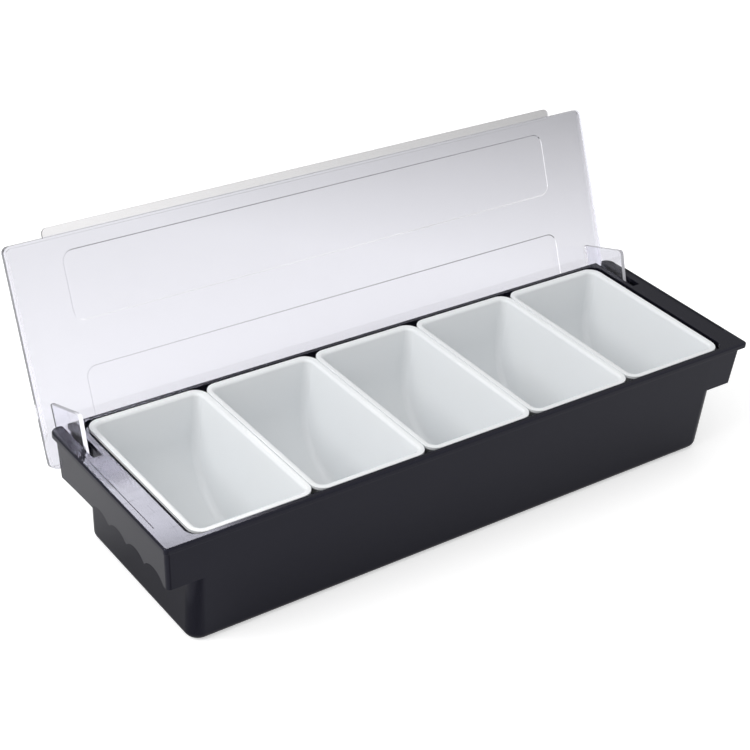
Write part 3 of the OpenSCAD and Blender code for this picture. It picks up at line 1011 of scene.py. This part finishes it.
# %% World
AMBIENT = 0.75
SKY_DUSK = 0.55
DUSKY_WAY = (0.525, 0.672, 0.522)
DUSKY_FROM = 0.8            # cosine of the angle from that way, where the darker part starts
DUSKY_TO = 0.95             # and from where it is all dark
world = bpy.data.worlds.new("studio")
bpy.context.scene.world = world
sky = Look(world, "ShaderNodeOutputWorld")
back_right = dot(sky, sky.node("ShaderNodeTexCoord", output="Generated"), DUSKY_WAY)
to_mirror, through_clear = (
    sky.node("ShaderNodeLightPath", output=f"Is {kind} Ray") for kind in ("Glossy", "Transmission"))
dusky = between(sky, back_right, DUSKY_FROM, DUSKY_TO)
dim = SKY_DUSK * dusky * to_mirror * (1 - through_clear)
strength = AMBIENT + (1 - AMBIENT) * background_rays(sky) - dim
sky.finish(sky.node("ShaderNodeBackground", None, {"Color": PLAIN_WHITE, "Strength": strength}))
print("the sky's strength is", AMBIENT, "as a light and 1 where it is seen")

# %% Floor
FLOOR_SIZE = 14
bpy.ops.object.select_all(action="DESELECT")
bpy.ops.mesh.primitive_plane_add(size=FLOOR_SIZE, location=(0, 0, base_low.z))
floor = bpy.context.object
floor.name = "floor"
bpy.ops.object.transform_apply(location=True, rotation=True, scale=True)
print("the floor is at Z", base_low.z)

# %% The sweep's white, and its painted shade
PAPER = (0.86, 0.86, 0.86, 1)
FLOOR_FILL = 0.45           # added to what the camera sees, so that it comes out white
CLEAR_FILL = 0.19           # added to what is seen through the lid
DUSK = 0.5                  # the darkening to the back right, and where it starts and ends
DUSK_FROM = 0.25
DUSK_TO = 0.6
BACK_SHADE = 0.17                 # the darkening to the back
BACK_SHADE_FROM = 0.15
BACK_SHADE_TO = 0.45
LEFT_SHADE = 0.5            # the strip beside the left end, from under the flange outwards
SHADE_IN = (rim_x - 45 * MM, rim_x - 20 * MM)
SHADE_OUT = (rim_x + 5 * MM, rim_x + 15 * MM)
SHADE_BACK = (0.03, 0.11)

paper = bpy.data.materials.new("white_sweep")
sweep = Look(paper, "ShaderNodeOutputMaterial")
to_camera, to_mirror, through_clear = (
    sweep.node("ShaderNodeLightPath", output=f"Is {kind} Ray")
    for kind in ("Camera", "Glossy", "Transmission"))
place = sweep.node("ShaderNodeTexCoord", output="Object")
east, north = (sweep.node("ShaderNodeSeparateXYZ", None, {0: place}, axis) for axis in (0, 1))
west = 0 - east
beside = between(sweep, west, *SHADE_IN) * (1 - between(sweep, west, *SHADE_OUT))
shade = LEFT_SHADE * beside * (1 - between(sweep, north, *SHADE_BACK))
dusk = DUSK * between(sweep, 0.5 * (east + north), DUSK_FROM, DUSK_TO)
dusk = dusk + BACK_SHADE * between(sweep, north, BACK_SHADE_FROM, BACK_SHADE_TO)
# The painted shade on the sweep: towards the back right through the lid, and in the strip by the left
# end in mirror images
darkness = dusk * through_clear + shade * to_mirror * (1 - through_clear)
matt = sweep.node("ShaderNodeBsdfDiffuse", None, {"Color": PAPER})
strength = FLOOR_FILL * to_camera + CLEAR_FILL * through_clear
fill = sweep.node("ShaderNodeEmission", None, {"Strength": strength})
lit = sweep.node("ShaderNodeAddShader", None, {0: matt, 1: fill})
dark = sweep.node("ShaderNodeEmission", None, {"Strength": 0})
sweep.finish(sweep.node("ShaderNodeMixShader", None, {0: darkness, 1: lit, 2: dark}))
dress(floor, paper)

# %% Lamps
def soft_lamp(name, place, aim, width, height, watts):
    bpy.ops.object.light_add(type="AREA", location=place)
    lamp = bpy.context.object
    lamp.name = name
    lamp.rotation_euler = (Vector(aim) - Vector(place)).to_track_quat("-Z", "Y").to_euler()
    lamp.data.shape = "RECTANGLE"
    lamp.data.size = width
    lamp.data.size_y = height
    lamp.data.energy = watts
    print(f"{name}: {watts} W, radiance {watts / (math.pi * width * height):.1f}")
    return lamp


OBJECT_MIDDLE = (0, 0, 0.08)
KEY_AT = (-1.45, 0.15, 1.3)
LEFT_FLANGE = (-0.237, -0.03, 0.089)
MIRROR_AT = (0.319, 0.966, 0.900)
soft_lamp("key", KEY_AT, OBJECT_MIDDLE, width=1.2, height=0.9, watts=17)
mirror = soft_lamp("mirror", MIRROR_AT, LEFT_FLANGE, width=0.225, height=0.175, watts=2.85)
mirror.visible_diffuse = False

# %% Finish with the Standard view transform
bpy.context.scene.view_settings.view_transform = "Standard"
